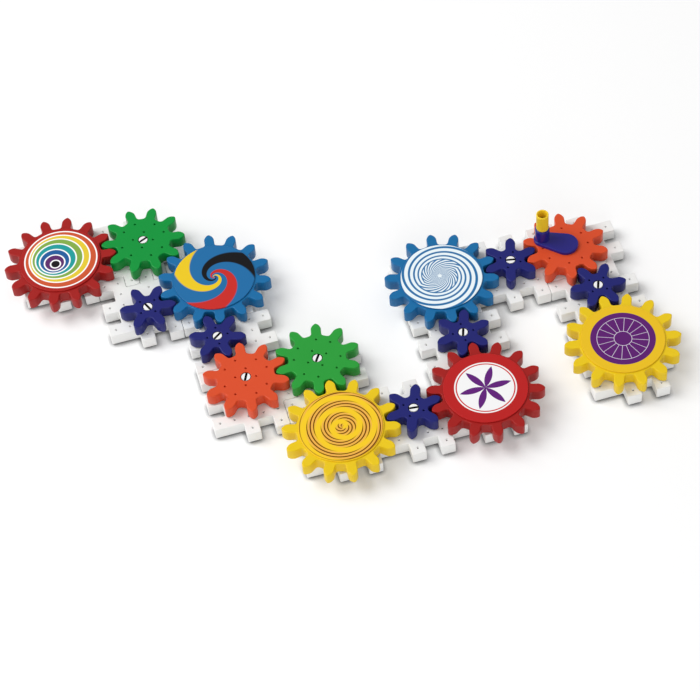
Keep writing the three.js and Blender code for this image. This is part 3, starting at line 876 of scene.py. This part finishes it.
# %% [markdown]
# The other blue disc has a fine swirl of white bands that thin out towards the middle. Where the four
# wide bands would become too wide for their radius, twenty fine ones take over, so that the eye sees
# a whirl. The border between the two winds the same way, and a white dot fills the middle.

# %% Fine swirl
WIDE_BANDS, WIDE_LEAD, FINE_BANDS, FINE_LEAD = 4, 35.0, 20, 34.0


def swirl_print(tree, place, colour):
    """White where the cosine of bands x angle + lead x log radius - start is over a limit. The two
    kinds meet at r = 1.65 e to the power of -4/35 x angle, the curve of a wide band's own edge."""
    flat = disc_place(tree, place, "12")
    radius, angle, log_radius = polar(tree, flat, (-0.1, 0.1))
    wide = maths(tree, "MULTIPLY", log_radius, WIDE_LEAD)
    wide = maths(tree, "MULTIPLY_ADD", angle, WIDE_BANDS, wide)
    wide = wave_mask(tree, maths(tree, "SUBTRACT", wide, math.radians(176)), -0.3, 2.5)
    fine = maths(tree, "MULTIPLY", log_radius, FINE_LEAD)
    fine = wave_mask(tree, maths(tree, "MULTIPLY_ADD", angle, FINE_BANDS, fine), -0.15, 1.5)
    lag = maths(tree, "WRAP", maths(tree, "SUBTRACT", angle, math.radians(190)), math.pi, 0.0)
    fall = maths(tree, "MULTIPLY", lag, -WIDE_BANDS / WIDE_LEAD)
    border = maths(tree, "SUBTRACT", log_radius, fall)
    is_inner = below_mask(tree, border, math.log(1.65), 0.03)
    bands = maths(tree, "MULTIPLY_ADD", is_inner, maths(tree, "SUBTRACT", fine, wide), wide)
    bands = maths(tree, "MAXIMUM", bands, below_mask(tree, radius, 0.17, 0.05))
    field = below_mask(tree, polar(tree, flat)[0], 2.83)
    return blend_colour(tree, maths(tree, "MULTIPLY", bands, field), colour, linear(236, 246, 250))


print("bands of the swirl:", WIDE_BANDS, "outside and", FINE_BANDS, "inside")

# %% [markdown]
# The last two discs have plain designs of this lesson's own: a flower of six petals as a pair of
# compasses draws it, and a field of fine rays.

# %% Petals and rays
PETALS, RAYS = 6, 16


def petal_print(tree, place, colour):
    """Two circles of diameter d through the middle cross in each petal. The angle is wrapped to a
    sixth of a turn round the petal's axis, and a point is inside both circles where its radius is
    under d times the cosine of a sixth of a turn more than the size of that angle."""
    radius, angle, _ = polar(tree, disc_place(tree, place, "10"))
    field, diameter, sixth = 2.1, 3.6, 2 * math.pi / PETALS
    colour = blend_colour(tree, below_mask(tree, radius, field), colour, linear(246, 246, 246))
    lean = maths(tree, "ABSOLUTE", maths(tree, "WRAP", angle, sixth / 2, -sixth / 2))
    cosine = maths(tree, "COSINE", maths(tree, "ADD", lean, sixth))
    limit = maths(tree, "MULTIPLY", cosine, diameter)
    colour = blend_colour(tree, below_mask(tree, radius, limit), colour, linear(96, 26, 120))
    ring = line_mask(tree, radius, field - 0.15, 0.05)
    return blend_colour(tree, ring, colour, linear(206, 32, 32))


def ray_print(tree, place, colour):
    """Thin rays where the distance to the nearest of sixteen half lines is small: radius times the
    wrapped angle. They run between two fine rings."""
    radius, angle, _ = polar(tree, disc_place(tree, place, "16"))
    field, inside, outside, share = 2.2, 0.6, 1.75, 2 * math.pi / RAYS
    colour = blend_colour(tree, below_mask(tree, radius, field), colour, linear(92, 24, 110))
    lean = maths(tree, "WRAP", angle, share / 2, -share / 2)
    rays = line_mask(tree, maths(tree, "MULTIPLY", lean, radius), 0.0, 0.02)
    rays = maths(tree, "MULTIPLY", rays, below_mask(tree, radius, outside))
    is_past_inside = below_mask(tree, maths(tree, "MULTIPLY", radius, -1.0), -inside)
    lines = maths(tree, "MULTIPLY", rays, is_past_inside)
    for at in (inside, outside):
        lines = maths(tree, "MAXIMUM", lines, line_mask(tree, radius, at, 0.022))
    return blend_colour(tree, lines, colour, linear(235, 225, 240))


print("petals:", PETALS, "rays:", RAYS)

# %% [markdown]
# The discs themselves are plain and round, all from one moulding. Each gets a material of its own
# with its print. Two pegs below hold it in the gear, and the crank arm has the same pegs.

# %% Discs
DISC, PEG, PEG_REACH = 34.0, 0.75, 2.4

DISCS = {
    "01": ((170, 24, 20), nested_print, "disc_red"),
    "03": ((26, 107, 164), three_arm_print, "disc_blue"),
    "08": ((247, 204, 30), stroke_print, "disc_yellow"),
    "10": ((186, 26, 26), petal_print, "disc_red"),
    "12": ((28, 109, 166), swirl_print, "disc_blue"),
    "16": ((236, 192, 28), ray_print, "disc_yellow"),
}


def fill_below(piece, rim, height, peg_places):
    """The flat underside of a piece within its rim, with the pegs that stand down from it."""
    loops = [rim]
    for at in peg_places:
        peg = piece.wall(circle(PEG, 14, at), [
            (0.2, height - PEG_REACH), (0, height - PEG_REACH + 0.2), (0, height),
        ])
        piece.cap(peg[0], False)
        loops.append(peg[-1])
    piece.fill(loops, False)


def disc_moulding():
    """A round plate with a soft edge, and below it the two pegs that hold it on the gear."""
    disc = Moulding()
    rim = disc.wall(circle(DISC, 160), edge_profile(DISC_FOOT, DISC_TOP, 0.1, 0.3))
    disc.fill([rim[-1]], True)
    fill_below(disc, rim[0], DISC_FOOT, peg_holes("large"))
    return disc


disc = disc_moulding()
for key, (base, design, slot) in DISCS.items():
    card = plastic(f"printed_{key}", base, rough=0.35, shade=0.05, patches=0.06, peel=0.00001,
                   print_on=design)
    make_piece(f"disc_{key}", disc, AXIS_AT[key], GEARS[key][2], card, f"pattern_disc_{key}")
print("faces of one disc:", len(disc.faces))

# %% [markdown]
# ## Crank arm and knob
# The crank is a glossy purple teardrop on top of an orange gear. A round stem stands on its narrow end
# and carries a post. The yellow knob is a tube with fine flutes that spins on this post, and a snap
# head inside keeps it on. Stem and post are turned, and the teardrop is two arcs and the lines that
# touch both, so its rounded edge is the same ring work as before.

# %% Crank arm
ARM_HUB, ARM_END, CRANK, STEM, POST, POST_HEAD = 10.6, 7.2, 20.0, 6.1, 2.3, 3.1
COLLAR, POST_TOP = 47.7, 50.3


def arm_moulding():
    """An arc round the hub from the touching line to the touching line, and one round the end. The
    lines touch both arcs where the cosine of the lean is the difference of radii over the distance.
    The pegs are turned back by as much as the arm is turned past its gear."""
    lean = math.acos((ARM_HUB - ARM_END) / CRANK)
    t = np.linspace(lean, 2 * math.pi - lean, 49)
    hub = ARM_HUB * np.stack([np.cos(t), np.sin(t)], 1)
    t = np.linspace(-lean, lean, 25)
    end = ARM_END * np.stack([np.cos(t), np.sin(t)], 1) + [CRANK, 0]
    arm = Moulding()
    rim = arm.wall(np.concatenate([hub, end]), edge_profile(ARM_FOOT, ARM_TOP, 0.2, 0.7, 6))
    stem = arm.turned([
        (STEM + 0.15, ARM_TOP), (STEM + 0.05, ARM_TOP + 0.1), (STEM, ARM_TOP + 0.4),
        (STEM, ARM_TOP + 0.8), (STEM, STEM_TOP - 1.3), (STEM - 0.12, STEM_TOP - 0.7),
        (STEM - 0.45, STEM_TOP - 0.25), (STEM - 1.0, STEM_TOP), (STEM - 1.2, STEM_TOP),
        (POST + 0.2, STEM_TOP), (POST, STEM_TOP + 0.2), (POST, COLLAR - 0.05),
        (POST_HEAD - 0.2, COLLAR), (POST_HEAD, COLLAR + 0.2), (POST_HEAD, POST_TOP - 1.1),
        (POST_HEAD - 0.35, POST_TOP - 0.5), (POST_HEAD - 1.0, POST_TOP - 0.05),
        (POST_HEAD - 1.3, POST_TOP),
    ], 64, at=(CRANK, 0))
    arm.cap(stem[-1], True)
    arm.fill([rim[-1], stem[0]], True)
    past_gear = math.radians(ARM_TURN - GEARS["14"][2])
    c, s = math.cos(past_gear), math.sin(past_gear)
    pegs = [(c * x + s * y, -s * x + c * y) for x, y in ((-CELL / 2, -CELL / 2), (CELL / 2, CELL / 2))]
    fill_below(arm, rim[0], ARM_FOOT, pegs)
    return arm


glossy_purple = plastic("glossy_purple", (38, 34, 128), rough=0.25, coat=0.15, shade=0.2)
arm = arm_moulding()
make_piece("arm_with_stem", arm, AXIS_AT["14"], ARM_TURN, glossy_purple, "crank_arm")
print("faces of the arm:", len(arm.faces))

# %% [markdown]
# The knob is turned in the same way, but its outside has twenty fine flutes that help small fingers to
# hold it. They could be cut one by one. Here they are a term that makes the radius a little smaller
# wherever a sine crosses zero, and they run out towards the ends, where their depth is none.

# %% Knob
KNOB, KNOB_INSIDE, KNOB_BORE, SHELF = 5.2, 4.0, 2.6, 47.4
FLUTES, FLUTE_DEPTH = 20, 0.28


def knob_moulding():
    """A tube turned from a closed profile. Between its ends the outside is fluted: with s the size
    of the sine of half the flute count times the angle, the radius loses the depth times (1 - s) to
    the power 1.5, which is the most where the sine crosses zero."""
    below_flutes = [
        (KNOB_BORE, KNOB_FOOT + 0.2), (KNOB_BORE + 0.2, KNOB_FOOT), (KNOB - 0.5, KNOB_FOOT),
        (KNOB - 0.15, KNOB_FOOT + 0.12), (KNOB, KNOB_FOOT + 0.5), (KNOB, KNOB_FOOT + 1.4),
    ]
    fluted = [(KNOB, KNOB_FOOT + 2.2), (KNOB, KNOB_TOP - 2.6)]
    above_flutes = [
        (KNOB, KNOB_TOP - 1.8), (KNOB, KNOB_TOP - 0.5), (KNOB - 0.13, KNOB_TOP - 0.15),
        (KNOB - 0.45, KNOB_TOP), (KNOB_INSIDE + 0.35, KNOB_TOP), (KNOB_INSIDE + 0.1, KNOB_TOP - 0.1),
        (KNOB_INSIDE, KNOB_TOP - 0.4), (KNOB_INSIDE, SHELF + 0.3), (KNOB_INSIDE - 0.3, SHELF),
        (KNOB_BORE + 0.2, SHELF), (KNOB_BORE, SHELF - 0.2), (KNOB_BORE, KNOB_FOOT + 0.2),
    ]
    depth = np.repeat([0, FLUTE_DEPTH, 0], [len(below_flutes), len(fluted), len(above_flutes)])

    def flutes(angle, row):
        return -depth[row] * (1 - np.abs(np.sin(FLUTES / 2 * angle))) ** 1.5

    knob = Moulding()
    knob.turned(below_flutes + fluted + above_flutes, FLUTES * 10, swell=flutes)
    return knob


knob_yellow = plastic("knob_yellow", (252, 214, 48), rough=0.35, shade=0.3)
knob = knob_moulding()
knob_at = middle("crank_knob")
make_piece("fluted_knob", knob, knob_at, 0, knob_yellow, "crank_knob")
print("knob at", np.round(knob_at, 2))

# %% [markdown]
# ## Table, light and camera
# The toy lies on a plain white table under soft light. To the camera the table should look pure
# white, as in a catalogue picture, but more light would bleach the toy. So the table's material
# adds a share of plain white emission for camera and reflection rays alone, and its own shading
# keeps the shadows. Close to the plates an Ambient Occlusion node paints a contact shadow into the
# table's colour and dims the white emission there by the same share. The table lies a hair below
# the plates, so that no two faces share a place.

# %% Table
HALF_TABLE, HAIR, CONTACT_REACH, GLOW = 4.0, 0.0002, 0.0045, 0.05

table_mesh = bpy.data.meshes.new("table")
sides = ((-1, -1), (1, -1), (1, 1), (-1, 1))
corners = [(HALF_TABLE * x, HALF_TABLE * y, -HAIR) for x, y in sides]
table_mesh.from_pydata(corners, [], [[0, 1, 2, 3]])
table = bpy.data.objects.new("table", table_mesh)
bpy.context.scene.collection.objects.link(table)

table_white = bpy.data.materials.new("table_white")
table_white.use_nodes = True
tree = table_white.node_tree
surface = tree.nodes["Principled BSDF"]
# Painted contact shadow: the AO node turns the table's colour from white to grey near the plates, and
# dims its white emission by the same share.
contact_shadow_ao = add_node(tree, "ShaderNodeAmbientOcclusion", {"samples": 12}, Distance=CONTACT_REACH)
open_share = maths(tree, "POWER", contact_shadow_ao.outputs["AO"], 1.5)
shaded = blend_colour(tree, open_share, linear(105, 105, 107), linear(250, 250, 250))
tree.links.new(shaded, surface.inputs["Base Color"])
surface.inputs["Roughness"].default_value = 0.9
rays = add_node(tree, "ShaderNodeLightPath")
seen = maths(tree, "MAXIMUM", rays.outputs["Is Camera Ray"], rays.outputs["Is Glossy Ray"])
seen = maths(tree, "MAXIMUM", seen, rays.outputs["Is Transmission Ray"])
glow = maths(tree, "MULTIPLY", maths(tree, "MULTIPLY", seen, GLOW), open_share)
tree.links.new(glow, surface.inputs["Emission Strength"])
surface.inputs["Emission Color"].default_value = WHITE
table_mesh.materials.append(table_white)
print("table ready:", table.name)

# %% [markdown]
# Two large soft lamps light the toy: one high behind on the left, which brightens the tops and lays
# a faint shadow to the front and right, and a weaker one in front, which opens up the walls. Together
# with the room's even light they give a level at which a colour renders about as it is written. The
# room itself looks white to the camera, for the views from the side.

# %% Lamps and room
def lamp(name, spot, size, watts):
    """A square area lamp that faces the middle of the table: its own z axis points back from there."""
    light = bpy.data.lights.new(name, "AREA")
    light.size, light.energy = size, watts
    holder = bpy.data.objects.new(name, light)
    back = np.array(spot) / np.linalg.norm(spot)
    side = np.cross([0, 0, 1], back)
    side /= np.linalg.norm(side)
    axes = Matrix([side, np.cross(back, side), back]).transposed()
    holder.matrix_world = Matrix.Translation(spot) @ axes.to_4x4()
    bpy.context.scene.collection.objects.link(holder)


lamp("high_lamp", (-2.4, 1.2, 3.3), 2.8, 124)
lamp("front_lamp", (-0.3, -2.3, 0.95), 1.3, 11)

world = bpy.context.scene.world or bpy.data.worlds.new("soft_room")
bpy.context.scene.world = world
world.use_nodes = True
tree = world.node_tree
room = tree.nodes["Background"]
room.inputs["Color"].default_value = WHITE
rays = add_node(tree, "ShaderNodeLightPath")
tree.links.new(maths(tree, "MAXIMUM", rays.outputs["Is Camera Ray"], 0.5), room.inputs["Strength"])

# %% [markdown]
# The camera looks down on the board from the front at about fifty degrees. Its angles, its distance
# and its lens were worked out by fitting the lattice of gear axes to the photograph. A camera looks
# along its own negative z axis, so its matrix is written from three directions and a place.

# %% Camera
bpy.context.scene.view_settings.view_transform = "Standard"

azimuth, elevation, roll = (math.radians(v) for v in (10.949, 52.646, -5.919))
target = np.array([-2.320, -48.633, GEAR_TOP]) / PER_METRE
distance = 1.9004
forward = np.array([
    math.sin(azimuth) * math.cos(elevation),
    math.cos(azimuth) * math.cos(elevation),
    -math.sin(elevation),
])
level = np.array([math.cos(azimuth), -math.sin(azimuth), 0])
upward = np.cross(level, forward)
c, s = math.cos(roll), math.sin(roll)
across, upward = c * level + s * upward, -s * level + c * upward
camera_data = bpy.data.cameras.new("camera")
camera_data.sensor_width, camera_data.lens = 36.0, 120.41
camera_data.clip_start, camera_data.clip_end = 0.05, 20
camera = bpy.data.objects.new("camera", camera_data)
columns = np.stack([across, upward, -forward, target - forward * distance], 1)
camera.matrix_world = Matrix([*columns.tolist(), [0, 0, 0, 1]])
bpy.context.scene.collection.objects.link(camera)
bpy.context.scene.camera = camera
print("camera at", [round(v, 3) for v in camera.matrix_world.translation])
